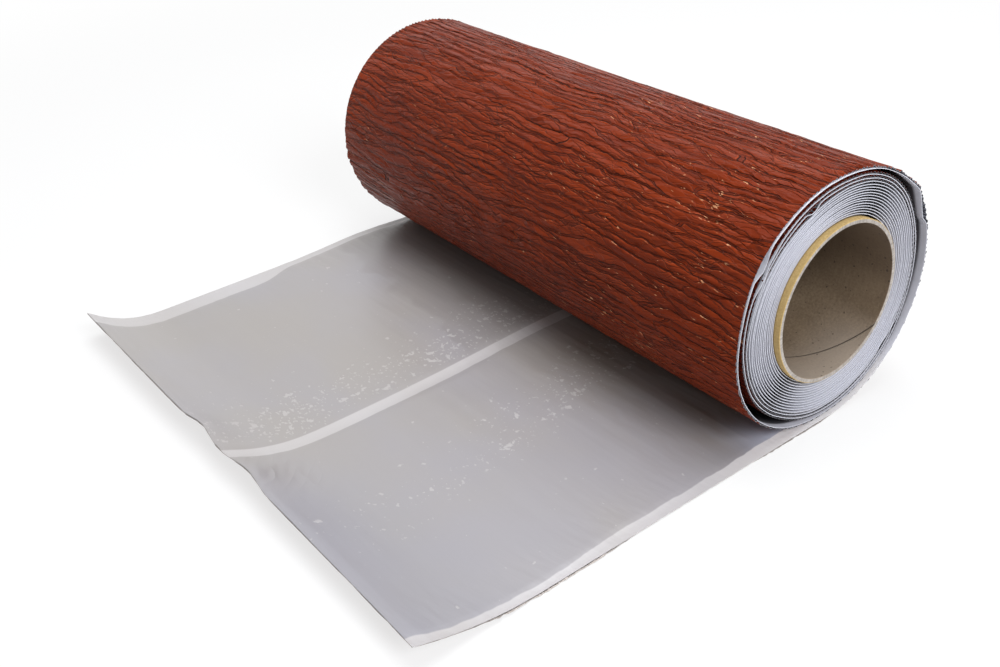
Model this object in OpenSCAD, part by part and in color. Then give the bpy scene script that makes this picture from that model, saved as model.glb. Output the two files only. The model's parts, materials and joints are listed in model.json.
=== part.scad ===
// Roll of lead-free flashing, partly unrolled on a level floor.
// A crimped, colour-coated strip with adhesive on its inner face is wound on a cardboard tube.
// A release film covers the adhesive. The tube's axis runs along Y, and the free end lies towards -X.
// The origin is on the floor, straight below the middle of the tube's axis.

/* [Flashing strip] */
// Width of the strip from edge to edge
strip_w = 300; // [150:10:600]
// Whole length of the strip, wound and unrolled
strip_l = 5000; // [3000:250:8000]
// Thickness of one turn: crimped metal, adhesive and film
turn_t = 1.25; // [1:0.05:2]

/* [Release film] */
// Thickness of the film that covers the adhesive
film_t = 0.2; // [0.1:0.05:0.3]

/* [Core tube] */
// Diameter of the bore
core_bore = 69; // [50:1:110]
// Wall of the tube
core_wall = 2; // [1.5:0.25:5]

/* [Wound turns] */
// How far the wound turns sit back from the front edge of the free end
wound_back = 3; // [1:0.5:8]
// Margin along each edge of the strip that has no adhesive, where the turns stand apart
margin = 9; // [4:1:15]
// Gap between two turns at the margins
margin_gap = 0.5; // [0.3:0.05:0.7]

/* [Outer turn] */
// Gap between the wound turns and the outer turn where it lies on the free end
seat_gap = 0.75; // [0.25:0.25:3]
// How far the outer turn bulges out on the side of the free end
bulge = 1; // [0:0.25:4]
// Angle above level at which the outer turn is creased, and its edge steps back to the wound turns
crease_angle = 38; // [10:1:80]

/* [Free end] */
// Length of the free end, from under the tube's axis to the cut
free_l = 222; // [160:2:500]
// Radius of the curl at the cut end
curl_r = 110; // [80:5:250]
// Angle through which the cut end curls up
curl_angle = 28; // [5:1:35]

/* [Hidden] */
$fn = 180;

// Largest angle between two points of the strip's outline
fine_angle = 6;
// Angle after the lowest line through which the outer turn sinks into the wound turns
join_angle = 20;

core_r = core_bore / 2;
tube_r = core_r + core_wall;
sheet_t = turn_t - film_t;

// Under the wound turns lie the outer turn's end and the free end.
outer_gap = 2 * turn_t + seat_gap;

// The wound turns fill a ring, whose area is their length times the thickness of one turn.
// Their length is what is left of the strip after the free end and one outer turn.
ring_area = (strip_l - free_l - 2 * PI * outer_gap) * turn_t;
wound_r = sqrt(tube_r ^ 2 + turn_t ^ 2 + ring_area / PI) - turn_t;
wound_n = round((wound_r - tube_r) / turn_t);
wound_pitch = (wound_r - tube_r) / wound_n;
outer_r = wound_r + outer_gap;

// The outer turn's lowest line is on the floor.
axis = [0, outer_r];

front_y = -strip_w / 2;
wound_y = front_y + wound_back;
flat_l = free_l - curl_r * curl_angle * PI / 180;

function direction(angle) = [cos(angle), sin(angle)];

// Angles from a0 to a1 in equal steps.
function steps(a0, a1) = let (n = ceil((a1 - a0) / fine_angle)) [for (i = [0 : n]) a0 + (a1 - a0) * i / n];

// Radius of the outer turn's outer face. Past the top it stands out by the bulge, and at the lowest
// line it has come in by the thickness of one turn, to lie on the free end.
function turn_r(angle) =
    let (past_top = max(0, angle - 90))
    outer_r + bulge * sin(past_top) ^ 2 - turn_t * (1 - cos(past_top)) / 2;

// The lines below are seen along +Y, and follow the strip at a depth under its outer face.
// The free end and the outer turn, from the cut to the crease.
function front_line(depth) = concat(
    [for (a = steps(270 - curl_angle, 270)) [-flat_l, curl_r] + (curl_r - depth) * direction(a)],
    [for (a = steps(-90, crease_angle)) axis + (turn_r(a) - depth) * direction(a)]);

// The outer turn, from the crease over the top and down onto the free end, and into the wound turns.
function back_line(depth) = concat(
    [for (a = steps(crease_angle, 270)) axis + (turn_r(a) - depth) * direction(a)],
    [axis + (wound_r - turn_t / 2 - depth) * direction(270 + join_angle)]);

function reversed(list) = [for (i = [len(list) - 1 : -1 : 0]) list[i]];

// The space between two lines, over the strip's width from y on.
module band(line, inner_line, y) {
    translate([0, y + strip_w, 0])
        rotate([90, 0, 0])
            linear_extrude(strip_w)
                polygon(concat(line, reversed(inner_line)));
}

// One layer of the free end and the outer turn, from a depth under the outer face.
module layer(depth, thick) {
    band(front_line(depth), front_line(depth + thick), front_y);
    band(back_line(depth), back_line(depth + thick), wound_y);
}

// The round space that the tube and the wound turns fill, open at both ends.
module wound_space() {
    translate([0, strip_w, axis[1]])
        rotate([90, 0, 0])
            cylinder(r = wound_r, h = 2 * strip_w);
}

// The turns that are still wound: one ring, with a groove between each two turns at both ends.
module wound_turns() {
    translate([0, wound_y + strip_w, axis[1]])
        rotate([90, 0, 0])
            rotate_extrude()
                difference() {
                    translate([tube_r, 0])
                        square([wound_r - tube_r, strip_w]);
                    for (turn = [1 : wound_n - 1], end = [0, strip_w])
                        translate([tube_r + turn * wound_pitch - margin_gap / 2, end - margin])
                            square([margin_gap, 2 * margin]);
                }
}

module core_tube() {
    color("#b0985f")
        translate([0, strip_w / 2, axis[1]])
            rotate([90, 0, 0])
                rotate_extrude()
                    translate([core_r, 0])
                        square([core_wall, strip_w]);
}

module flashing_strip() {
    color("#84392a")
        union() {
            wound_turns();
            layer(0, sheet_t);
        }
}

module release_film() {
    color("#c6c4c6")
        difference() {
            layer(sheet_t, film_t);
            wound_space();
        }
}

core_tube();
flashing_strip();
release_film();
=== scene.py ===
"""Roll of crimped flashing with its free end laid out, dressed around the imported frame."""

import json
import logging
import math
from dataclasses import dataclass, field
from enum import Enum
from typing import Any, Callable, Sequence

import bpy
import numpy as np
from mathutils import Matrix, Vector


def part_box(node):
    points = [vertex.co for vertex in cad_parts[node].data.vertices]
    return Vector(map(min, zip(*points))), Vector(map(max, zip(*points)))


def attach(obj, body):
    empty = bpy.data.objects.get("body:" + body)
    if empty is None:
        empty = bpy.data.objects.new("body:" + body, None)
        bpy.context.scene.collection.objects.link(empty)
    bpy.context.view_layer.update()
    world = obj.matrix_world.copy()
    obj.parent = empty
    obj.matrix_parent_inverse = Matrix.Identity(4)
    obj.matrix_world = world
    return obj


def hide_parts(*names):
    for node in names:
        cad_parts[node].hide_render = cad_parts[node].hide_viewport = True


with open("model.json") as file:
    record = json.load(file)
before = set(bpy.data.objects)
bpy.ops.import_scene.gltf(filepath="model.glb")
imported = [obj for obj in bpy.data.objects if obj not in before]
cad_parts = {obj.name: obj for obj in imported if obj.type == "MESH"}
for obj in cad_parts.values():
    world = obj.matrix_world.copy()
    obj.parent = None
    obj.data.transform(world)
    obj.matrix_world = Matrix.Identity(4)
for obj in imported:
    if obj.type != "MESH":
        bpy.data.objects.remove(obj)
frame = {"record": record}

LOG = logging.getLogger("flashing_roll")
MM = 0.001
# The least steepness that a distance is divided by.
SMALLEST = 0.0001
# The attribute that keeps where each point lay on the flat strip, in mm.
FLAT_PLACE = "flat"
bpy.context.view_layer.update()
TUBE_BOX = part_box("core_tube")
# Height of the roll's axis, in metres.
AXIS_Z = (TUBE_BOX[0].z + TUBE_BOX[1].z) / 2
# Half the width of the strip and of the tube, in mm.
HALF_WIDTH = round((TUBE_BOX[1].y - TUBE_BOX[0].y) / 2 / MM, 3)


# ---------------------------------------------------------------------------
# Node trees written as expressions
# ---------------------------------------------------------------------------


class Wire:
    """One output of a node tree, on which plain arithmetic adds Math nodes."""

    def __init__(self, bench: "NodeBench", socket: bpy.types.NodeSocket) -> None:
        """Wraps a socket.

        Args:
            bench: The node tree's helper.
            socket: The output socket to wrap.
        """
        self.bench = bench
        self.socket = socket

    def __add__(self, other: "Wire | float") -> "Wire":
        """Adds a value or a wire."""
        return self.bench.math("ADD", self, other)

    __radd__ = __add__

    def __sub__(self, other: "Wire | float") -> "Wire":
        """Subtracts a value or a wire."""
        return self.bench.math("SUBTRACT", self, other)

    def __rsub__(self, other: float) -> "Wire":
        """Subtracts this wire from a value."""
        return self.bench.math("SUBTRACT", other, self)

    def __mul__(self, other: "Wire | float") -> "Wire":
        """Multiplies by a value or a wire."""
        return self.bench.math("MULTIPLY", self, other)

    __rmul__ = __mul__

    def __truediv__(self, other: "Wire | float") -> "Wire":
        """Divides by a value or a wire."""
        return self.bench.math("DIVIDE", self, other)

    def __abs__(self) -> "Wire":
        """Takes the size without its sign."""
        return self.bench.math("ABSOLUTE", self)

    def __neg__(self) -> "Wire":
        """Turns the sign."""
        return self.bench.math("MULTIPLY", self, -1.0)

    def sin(self) -> "Wire":
        """Takes the sine."""
        return self.bench.math("SINE", self)

    def at_least(self, other: "Wire | float") -> "Wire":
        """Keeps the larger of the two."""
        return self.bench.math("MAXIMUM", self, other)

    def at_most(self, other: "Wire | float") -> "Wire":
        """Keeps the smaller of the two."""
        return self.bench.math("MINIMUM", self, other)

    def ramp(self, low: float, high: float) -> "Wire":
        """Rises smoothly from 0 at low to 1 at high, or falls where low is the larger.

        Args:
            low: The value that gives 0.
            high: The value that gives 1.

        Returns:
            A wire between 0 and 1.
        """
        settings = {"interpolation_type": "SMOOTHSTEP"}
        node = self.bench.add("ShaderNodeMapRange", settings, {0: self, 1: low, 2: high})
        return Wire(self.bench, node.outputs[0])

    def hump(self, middle: float, reach: float) -> "Wire":
        """Is 1 at middle and falls smoothly to 0 at reach on both sides."""
        return abs(self - middle).ramp(reach, 0.0)


class NodeBench:
    """Adds nodes to one tree, of a material or of geometry."""

    def __init__(self, tree: bpy.types.NodeTree) -> None:
        """Keeps the tree."""
        self.tree = tree

    def add(
        self,
        kind: str,
        settings: dict[str, Any] | None = None,
        sockets: dict[str | int, Any] | None = None,
    ) -> bpy.types.Node:
        """Adds a node, sets it up and fills its sockets.

        Args:
            kind: The node's type.
            settings: Its properties, which are set first.
            sockets: A value or a Wire for each input, by name or number.

        Returns:
            The node.
        """
        node = self.tree.nodes.new(kind)
        for name, value in (settings or {}).items():
            setattr(node, name, value)
        for name, value in (sockets or {}).items():
            if isinstance(value, Wire):
                self.tree.links.new(value.socket, node.inputs[name])
            else:
                node.inputs[name].default_value = value
        return node

    def wire(self, node: bpy.types.Node, output: str | int = 0) -> Wire:
        """Wraps one of a node's outputs."""
        return Wire(self, node.outputs[output])

    def math(self, operation: str, *values: Wire | float) -> Wire:
        """Adds a Math node."""
        settings = {"operation": operation}
        return self.wire(self.add("ShaderNodeMath", settings, dict(enumerate(values))))

    def vector_math(self, operation: str, *values: Any) -> Wire:
        """Adds a Vector Math node."""
        settings = {"operation": operation}
        return self.wire(self.add("ShaderNodeVectorMath", settings, dict(enumerate(values))))

    def vector_measure(self, operation: str, *values: Any) -> Wire:
        """Adds a Vector Math node that gives a number."""
        node = self.add("ShaderNodeVectorMath", {"operation": operation}, dict(enumerate(values)))
        return self.wire(node, 1)

    def scaled(self, vector: Wire, factor: Wire | float) -> Wire:
        """Scales a vector."""
        node = self.add("ShaderNodeVectorMath", {"operation": "SCALE"}, {0: vector, "Scale": factor})
        return self.wire(node)

    def vector(self, x: Wire | float, y: Wire | float, z: Wire | float = 0.0) -> Wire:
        """Joins three numbers into a vector."""
        return self.wire(self.add("ShaderNodeCombineXYZ", None, {0: x, 1: y, 2: z}))

    def parts(self, vector: Wire) -> tuple[Wire, Wire, Wire]:
        """Splits a vector into its three numbers."""
        node = self.add("ShaderNodeSeparateXYZ", None, {0: vector})
        return self.wire(node, 0), self.wire(node, 1), self.wire(node, 2)

    def mix_vectors(self, amount: Wire, first: Wire, second: Wire) -> Wire:
        """Blends two vectors."""
        node = self.add("ShaderNodeMix", {"data_type": "VECTOR"}, {0: amount, 4: first, 5: second})
        return self.wire(node, 1)

    def mix_colours(self, amount: Wire | float, first: Any, second: Any) -> Wire:
        """Blends two colours."""
        node = self.add("ShaderNodeMix", {"data_type": "RGBA"}, {0: amount, 6: first, 7: second})
        return self.wire(node, 2)

    def noise(
        self, x: Wire | float, y: Wire | float, seed: float, detail: float = 2.0, rough: float = 0.5
    ) -> Wire:
        """Adds smooth noise around 0, between about -0.5 and 0.5.

        Args:
            x: First coordinate, in noise cells.
            y: Second coordinate, in noise cells.
            seed: Which of the noise fields to use.
            detail: How many finer layers it has.
            rough: How strong the finer layers are.

        Returns:
            The noise.
        """
        sockets = {"Vector": self.vector(x, y, seed), "Scale": 1.0, "Detail": detail}
        node = self.add("ShaderNodeTexNoise", None, {**sockets, "Roughness": rough})
        return self.wire(node) - 0.5

    def cells(self, x: Wire, y: Wire, wide: float, long: float, loose: float = 0.9) -> "Cells":
        """Adds long flat cells.

        Args:
            x: First coordinate, across the cells.
            y: Second coordinate, along the cells.
            wide: Mean width of a cell.
            long: Mean length of a cell.
            loose: How irregular they are, up to 1.

        Returns:
            What the cells give at each point.
        """
        place = self.vector(x / wide, y / long)
        sockets = {"Vector": place, "Scale": 1.0, "Randomness": loose}
        flat = {"voronoi_dimensions": "2D"}
        first = self.add("ShaderNodeTexVoronoi", {**flat, "feature": "F1"}, sockets)
        second = self.add("ShaderNodeTexVoronoi", {**flat, "feature": "F2"}, sockets)
        own, next_one = self.wire(first, "Position"), self.wire(second, "Position")
        apart = self.vector_math("SUBTRACT", next_one, own)
        middle = self.scaled(self.vector_math("ADD", next_one, own), 0.5)
        inside = self.vector_math("SUBTRACT", middle, place)
        reach = self.vector_measure("DOT_PRODUCT", inside, apart)
        slant = self.vector_math("MULTIPLY", apart, Vector((1 / wide, 1 / long, 0)))
        steepness = self.vector_measure("LENGTH", slant).at_least(SMALLEST)
        slant_x, _, _ = self.parts(slant)
        centre_x, _, _ = self.parts(own)
        return Cells(
            edge=reach / steepness,
            run=abs(slant_x) / steepness,
            off_x=x - centre_x * wide,
            chances=self.parts(self.wire(first, "Color")),
        )


@dataclass(frozen=True)
class Cells:
    """What a field of cells gives at a point.

    Attributes:
        edge: Distance to the nearest edge.
        run: 1 where that edge runs along the cells, 0 where it crosses them.
        off_x: Distance from the cell's centre across the cells.
        chances: Three chances between 0 and 1, the same all over a cell.
    """

    edge: Wire
    run: Wire
    off_x: Wire
    chances: tuple[Wire, Wire, Wire]


Colour = tuple[float, float, float, float]


def srgb(red: int, green: int, blue: int) -> Colour:
    """Turns a colour of 0 to 255 steps into linear light.

    Args:
        red: Red step.
        green: Green step.
        blue: Blue step.

    Returns:
        Red, green, blue and an alpha of 1.
    """
    parts = []
    for step in (red, green, blue):
        share = step / 255
        parts.append(share / 12.92 if share <= 0.04045 else ((share + 0.055) / 1.055) ** 2.4)
    return parts[0], parts[1], parts[2], 1.0


# ---------------------------------------------------------------------------
# How the strip is wound
# ---------------------------------------------------------------------------


class RollEnd(Enum):
    """The two ends of the roll."""

    NEAR = "near"
    FAR = "far"


@dataclass(frozen=True)
class EndShape:
    """How the strip lies at one end of the roll. Angles in degrees, stand-offs in mm.

    Attributes:
        curl_from: Where the free end starts to lift, from the axis.
        curl_radius: Radius of the free end's curl.
        curl_angle: How far the curl turns.
        lift: How far the free end lies off the floor, midway to the roll.
        crease: Stand-off of the kink on the outer turn.
        outer_turn: Angle and stand-off of the painted face on the outer turn.
        wound_turns: The same for the outermost of the tight turns.
    """

    curl_from: float
    curl_radius: float
    curl_angle: float
    lift: float
    crease: float
    outer_turn: tuple[tuple[float, float], ...]
    wound_turns: tuple[tuple[float, float], ...]


@dataclass
class Winding:
    """The line of the painted face, from the cut end, under the roll and round to the tube.

    Attributes:
        axis_z: Height of the roll's axis over the floor.
        tube_r: Outer radius of the tube.
        width: Width of the strip.
        shapes: How the strip lies at each end.
        turn_t: Thickness of the strip with its film.
        turns: How many turns are wound tight under the outer one.
        crease_angle: Where the outer turn has its kink.
        loosest_angle: Where the first turns stand furthest apart.
        parted_angle: Where the third turn stands off the second.
        parted_after: How many tight turns lie outside that place.
        loose: How much deeper the turns lie all round, as a share of the ring.
        loose_aside: The same, growing towards the side of the free end.
        loose_most: The same, at the loosest angle.
        parted: The same, where the third turn stands off.
        join_angle: Where the outer turn goes over into the tight turns.
        step_angle: Angle between two points of the line.
        curl_step: The same on the free end's curl.
        smooth_angle: Angle over which the line's changes are smoothed.
        kink_angle: Angle over which the kink dies away.
        flat_step: Distance between two points of the flat stretch.
        lift_span: Length over which the free end lies off the floor.
        guides: The guide curve of each end.
        length: Length of the near end's line.
        angle_table: Unwound angle at each of its points.
        length_table: Length from the cut end to each of its points.
    """

    axis_z: float
    tube_r: float
    width: float
    shapes: dict[RollEnd, EndShape]
    turn_t: float = 1.25 * MM
    turns: int = 15
    crease_angle: float = 38.0
    loosest_angle: float = 136.0
    parted_angle: float = 113.0
    parted_after: float = 1.4
    loose: float = 0.02
    loose_aside: float = 0.03
    loose_most: float = 0.12
    parted: float = 0.055
    join_angle: float = 270.0
    step_angle: float = 1.5
    curl_step: float = 0.5
    smooth_angle: float = 16.0
    kink_angle: float = 6.0
    flat_step: float = 2 * MM
    lift_span: float = 110 * MM
    guides: dict[RollEnd, bpy.types.Object] = field(default_factory=dict)
    length: float = 0.0
    angle_table: np.ndarray | None = None
    length_table: np.ndarray | None = None

    def radii(self, shape: EndShape, angles: np.ndarray) -> np.ndarray:
        """Works out the painted face's distance from the axis.

        Args:
            shape: How the strip lies at this end.
            angles: Unwound angles, from -90 under the roll.

        Returns:
            A radius for each angle, in metres.
        """
        outer = np.interp(angles, *zip(*shape.outer_turn)) * MM + self.axis_z
        wound = np.interp(angles, *zip(*shape.wound_turns), period=360) * MM + self.axis_z
        innermost = self.tube_r + self.turn_t
        depth = np.clip((angles - self.join_angle) / 360 / self.turns, 0, 1)
        depth = depth + self.slack(angles, depth) * (1 - depth)
        wound = innermost + (wound - innermost) * (1 - depth)
        radii = np.where(angles < self.join_angle, outer, wound)
        weights = np.hanning(round(self.smooth_angle / self.step_angle) * 2 + 1)
        padded = np.pad(radii, len(weights) // 2, mode="edge")
        smooth = np.convolve(padded, weights / weights.sum(), mode="valid")
        kink = np.exp(-np.abs(angles - self.crease_angle) / self.kink_angle)
        return smooth + shape.crease * MM * kink

    def slack(self, angles: np.ndarray, depth: np.ndarray) -> np.ndarray:
        """Works out how much deeper the turns lie where the first ones stand apart.

        Args:
            angles: Unwound angles.
            depth: Share of the tight turns that lie outside each point.

        Returns:
            What is added to the depth.
        """
        from_loosest = (1 + np.cos(np.radians(angles - self.loosest_angle))) / 2
        aside = 1 - np.cos(np.radians(angles))
        loose = self.loose + self.loose_aside * aside + self.loose_most * from_loosest**4
        from_parted = (1 + np.cos(np.radians(angles - self.parted_angle))) / 2
        parted = self.parted * from_parted**30 * np.clip(depth * self.turns - self.parted_after, 0, 1)
        return loose * (1 - np.exp(-depth * self.turns / 2)) + parted

    def points(self, shape: EndShape) -> tuple[np.ndarray, np.ndarray]:
        """Lists the line's points at one end.

        Args:
            shape: How the strip lies there.

        Returns:
            Rows of each point's x and z, and the unwound angle of each.
        """
        radius = shape.curl_radius * MM
        curl = np.radians(np.arange(shape.curl_angle, 0, -self.curl_step))
        curl_x = -shape.curl_from * MM - radius * np.sin(curl)
        curl_z = radius * (1 - np.cos(curl))
        flat_x = np.arange(-shape.curl_from * MM, -self.flat_step / 2, self.flat_step)
        flat_z = shape.lift * MM * np.sin(np.pi * np.clip(flat_x / self.lift_span, -1, 0)) ** 2
        angles = np.arange(-90, self.join_angle + 360 * self.turns, self.step_angle)
        radii = self.radii(shape, angles)
        turned = np.radians(angles)
        wound_x = radii * np.cos(turned)
        wound_z = self.axis_z + radii * np.sin(turned)
        flat_angles = np.full(len(curl_x) + len(flat_x), -90.0)
        places_x = np.concatenate((curl_x, flat_x, wound_x))
        places_z = np.concatenate((curl_z, flat_z, wound_z))
        return np.column_stack((places_x, places_z)), np.concatenate((flat_angles, angles))

    def build_guides(self) -> None:
        """Makes a guide curve for each end and measures the near one."""
        for end, shape in self.shapes.items():
            places, angles = self.points(shape)
            self.guides[end] = self._guide(end, places)
            if end is RollEnd.NEAR:
                steps = np.hypot(*np.diff(places, axis=0).T)
                self.length_table = np.concatenate(((0.0,), np.cumsum(steps)))
                self.angle_table = angles
                self.length = float(self.length_table[-1])

    @staticmethod
    def _guide(end: RollEnd, places: np.ndarray) -> bpy.types.Object:
        """Makes the guide curve of one end.

        Args:
            end: Which end it is for.
            places: Rows of each point's x and z.

        Returns:
            The curve's object.
        """
        curve = bpy.data.curves.new(f"{end.value}_guide", "CURVE")
        curve.dimensions = "3D"
        spline = curve.splines.new("POLY")
        spline.points.add(len(places) - 1)
        rows = np.zeros((len(places), 4), np.float32)
        rows[:, (0, 2)] = places
        rows[:, 3] = 1
        spline.points.foreach_set("co", rows.ravel())
        guide = bpy.data.objects.new(curve.name, curve)
        bpy.context.scene.collection.objects.link(guide)
        return guide

    def length_at(self, angle: float) -> float:
        """Gives the strip's length from its cut end to an unwound angle, in metres."""
        return float(np.interp(angle, self.angle_table, self.length_table))

    def marks(self, *angles: float) -> list[float]:
        """Gives the same length for several angles, in mm."""
        return [self.length_at(angle) / MM for angle in angles]

    def remove_guides(self) -> None:
        """Takes the guide curves away once the sheets are rolled up."""
        for guide in self.guides.values():
            bpy.data.objects.remove(guide)


# Angle and stand-off of the outermost tight turn at the near end.
WOUND_TURNS = (
    (270, -1.3),
    (300, -1.2),
    (318, -1.7),
    (333, -3.0),
    (348, -4.2),
    (360, -4.5),
    (380, -4.8),
    (400, -3.6),
    (420, -2.9),
    (450, -3.1),
    (470, -2.05),
    (485, -1.4),
    (500, -0.9),
    (520, -0.75),
    (540, -1.0),
    (560, -1.7),
    (578, -2.0),
    (598, -2.9),
    (618, -1.8),
    (630, -1.3),
)
NEAR_SHAPE = EndShape(
    curl_from=161,
    curl_radius=153,
    curl_angle=21.9,
    lift=0,
    crease=1.2,
    outer_turn=(
        (-90, 0),
        (30, 0),
        (50, -0.4),
        (85, -2.0),
        (110, -0.8),
        (146, 0.9),
        (170, -0.7),
        (195, 0.8),
        (220, 1.0),
        (245, 0.2),
        (270, -1.3),
    ),
    wound_turns=WOUND_TURNS,
)
FAR_SHAPE = EndShape(
    curl_from=185,
    curl_radius=55,
    curl_angle=42.8,
    lift=2.0,
    crease=0,
    outer_turn=((-90, 0), (30, -0.3), (90, -1.4), (180, -1.5), (240, -0.8), (270, -1.3)),
    wound_turns=((270, -1.3), (360, -3.2), (450, -2.8), (540, -2.9), (630, -1.3)),
)


# ---------------------------------------------------------------------------
# Patterns that shapes and finishes share, in mm over the flat strip
# ---------------------------------------------------------------------------


@dataclass(frozen=True)
class CrimpPattern:
    """Pleats pressed into the metal, running across the strip.

    Attributes:
        pleat: Mean distance between pleats.
        run: Mean length of a pleat before it meets another.
        tilt: How steeply a facet between pleats may lean.
        dome: How far a facet stands up in its middle.
        fold: Half the width of a pressed-down pleat.
        minor_pleat: Mean width of the small facets.
        minor_run: Mean length of the small facets.
        slants: How far aslant the two fields of small facets lie.
    """

    pleat: float = 4.1
    run: float = 56.0
    tilt: float = 0.25
    dome: float = 0.46
    fold: float = 0.42
    minor_pleat: float = 2.9
    minor_run: float = 21.0
    slants: tuple[float, ...] = (0.13, -0.2)

    def cells(self, bench: NodeBench, along: Wire, across: Wire) -> Cells:
        """Lays the facets between the pleats.

        Args:
            bench: The node tree's helper.
            along: Length along the strip, in mm.
            across: Place across the strip, in mm.

        Returns:
            The facets.
        """
        wander = bench.noise(along / 31, across / 44, 3.1, 1.0) * 10.0
        waver = bench.noise(along / 9, across / 13, 7.7, 2.0) * 3.6
        shiver = bench.noise(along / 3, across / 4, 1.3, 1.0) * 1.1
        slip = bench.noise(along / 11, across / 60, 5.9, 1.0) * 34.0
        return bench.cells(along + wander + waver + shiver, across + slip, self.pleat, self.run)

    def minor_cells(self, bench: NodeBench, along: Wire, across: Wire, slant: float) -> Cells:
        """Lays the small facets that the large ones are broken into, a little aslant."""
        skew = along + across * slant + bench.noise(along / 9, across / 11, 2.2 + slant, 2.0) * 6
        return bench.cells(skew, across, self.minor_pleat, self.minor_run, 1.0)

    def relief(self, bench: NodeBench, along: Wire, across: Wire) -> Wire:
        """Gives the height of the facets over the mean face, in mm.

        Args:
            bench: The node tree's helper.
            along: Length along the strip, in mm.
            across: Place across the strip, in mm.

        Returns:
            The height, in mm.
        """
        cells = self.cells(bench, along, across)
        dome = (cells.edge.ramp(0.0, 1.7) - 0.55) * self.dome
        lean = (cells.chances[0] - 0.36) * cells.off_x * (2 * self.tilt)
        ridge = abs(bench.noise(along / 4.2 + across / 30, across / 26, 9.9, 1.0)) * -1.1
        swell = bench.noise(along / 24, across / 60, 9.4, 1.0) * 0.3
        return dome + lean + ridge + swell + 0.25

    def folds(self, bench: NodeBench, along: Wire, across: Wire) -> "Folds":
        """Gives the fine marks of the pleats, where the coating gets painted shade and painted
        highlights.

        Args:
            bench: The node tree's helper.
            along: Length along the strip, in mm.
            across: Place across the strip, in mm.

        Returns:
            The marks.
        """
        cells = self.cells(bench, along, across)
        wide = self.fold * (0.1 + 1.7 * cells.chances[1])
        along_fold = 0.2 + 0.8 * cells.run
        # Fold lines and pressed strips, where the coating gets painted shade.
        line = abs(cells.edge - wide).ramp(0.24, 0.05) * (0.5 + cells.chances[2]) * along_fold
        pressed = (wide - cells.edge).ramp(-0.1, 0.1) * along_fold
        where = bench.noise(along / 15, across / 30, 6.6, 2.0).ramp(-0.16, 0.12)
        broken = bench.noise(along / 4, across / 8, 6.1, 1.0).ramp(-0.22, 0.16)
        upper = cells.off_x.ramp(0.3, -0.3) * along_fold * broken
        # Painted highlight on the lit rounded edge below each fold.
        painted_brow_highlight = (cells.edge - wide).hump(0.42, 0.32) * upper
        small, tone = 0.0, cells.chances[2] * 0.5
        for slant in self.slants:
            minor = self.minor_cells(bench, along, across, slant)
            mark = where * (0.15 + 0.85 * minor.run)
            line = line.at_least(minor.edge.ramp(0.22, 0.04) * mark * 0.75)
            painted_brow_highlight = painted_brow_highlight.at_least(minor.edge.hump(0.42, 0.26) * mark * minor.off_x.ramp(0.1, -0.2) * 0.8)
            small = small + (minor.chances[0] - 0.5) * minor.off_x * 0.6 * minor.edge.ramp(0.0, 0.4)
            tone = tone + minor.chances[1] * 0.25
        return Folds(line=line.at_most(1.0), pressed=pressed, small=small, painted_brow_highlight=painted_brow_highlight, tone=tone)


@dataclass(frozen=True)
class Folds:
    """The fine marks of the pleats.

    Attributes:
        line: 1 on the thin lines of the folds, where the coating gets painted shade.
        pressed: 1 on the pressed strip between two lines, where the coating gets painted shade.
        small: Height of the small facets, in mm.
        painted_brow_highlight: 1 on the rounded edge below a fold, where the coating gets a painted
            highlight.
        tone: A chance between 0 and 1 for each facet.
    """

    line: Wire
    pressed: Wire
    small: Wire
    painted_brow_highlight: Wire
    tone: Wire


@dataclass(frozen=True)
class FilmPattern:
    """Where the film lies on adhesive, and where it doesn't.

    Attributes:
        half_width: Half the width of the strip.
        margin: Width of the dry band along each edge.
        split: Width of the dry band in the middle.
        split_at: Place of the middle band across the strip.
    """

    half_width: float = HALF_WIDTH
    margin: float = 5.2
    split: float = 7.4
    split_at: float = -8.6

    def wetted(self, bench: NodeBench, along: Wire, across: Wire, soft: float = 0.35) -> Wire:
        """Is 1 where the film lies on adhesive and 0 on the dry bands.

        Args:
            bench: The node tree's helper.
            along: Length along the strip, in mm.
            across: Place across the strip, in mm.
            soft: Width of the change between the two.

        Returns:
            The mask.
        """
        drift = bench.noise(along / 60, 0.0, 4.0, 1.0) * 3 + bench.noise(along / 11, 0.0, 8.0, 2.0) * 2.6
        drift = drift - along.ramp(16.0, 2.0) * 1.4 - along.ramp(130.0, 190.0) * 0.8
        drift = drift + along.ramp(100.0, 60.0) * 1.7
        far_drift = bench.noise(along / 12, 0.0, 18.0, 2.0) * 1.8 - along.ramp(122.0, 96.0) * 7.0
        near_edge = (across + (self.half_width - self.margin) + drift).ramp(-soft, soft)
        far_edge = ((self.half_width - self.margin) - across + far_drift).ramp(-soft, soft)
        lean = along.ramp(60.0, 230.0) * 4.6
        ripple = bench.noise(along / 9, 0.0, 11.0, 1.0) * 0.9
        from_split = across - self.split_at - lean
        below = (-from_split - self.split / 2 + ripple).ramp(-soft, soft)
        above = (from_split - self.split / 2).ramp(-soft, soft)
        return near_edge * far_edge * below.at_least(above)


# ---------------------------------------------------------------------------
# Flat sheets that are rolled up
# ---------------------------------------------------------------------------


@dataclass
class Relief:
    """What a sheet's face does at a point of the flat strip, in mm.

    Attributes:
        inward: How much deeper into the roll the point lies.
        slide: How far it lies towards the far end.
        back: How far it lies back along the strip.
    """

    inward: Wire
    slide: Wire
    back: Wire | float = 0.0


@dataclass
class Spot:
    """A point of the flat strip.

    Attributes:
        along: Length from the cut end, in mm.
        across: Place across the strip, in mm.
        depth: Depth under the painted face, in mm.
        corner: 1 at the roll's upper corner away from the free end, -1 opposite it.
    """

    along: Wire
    across: Wire
    depth: Wire
    corner: Wire


ReliefMaker = Callable[[NodeBench, Spot], Relief]


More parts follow.
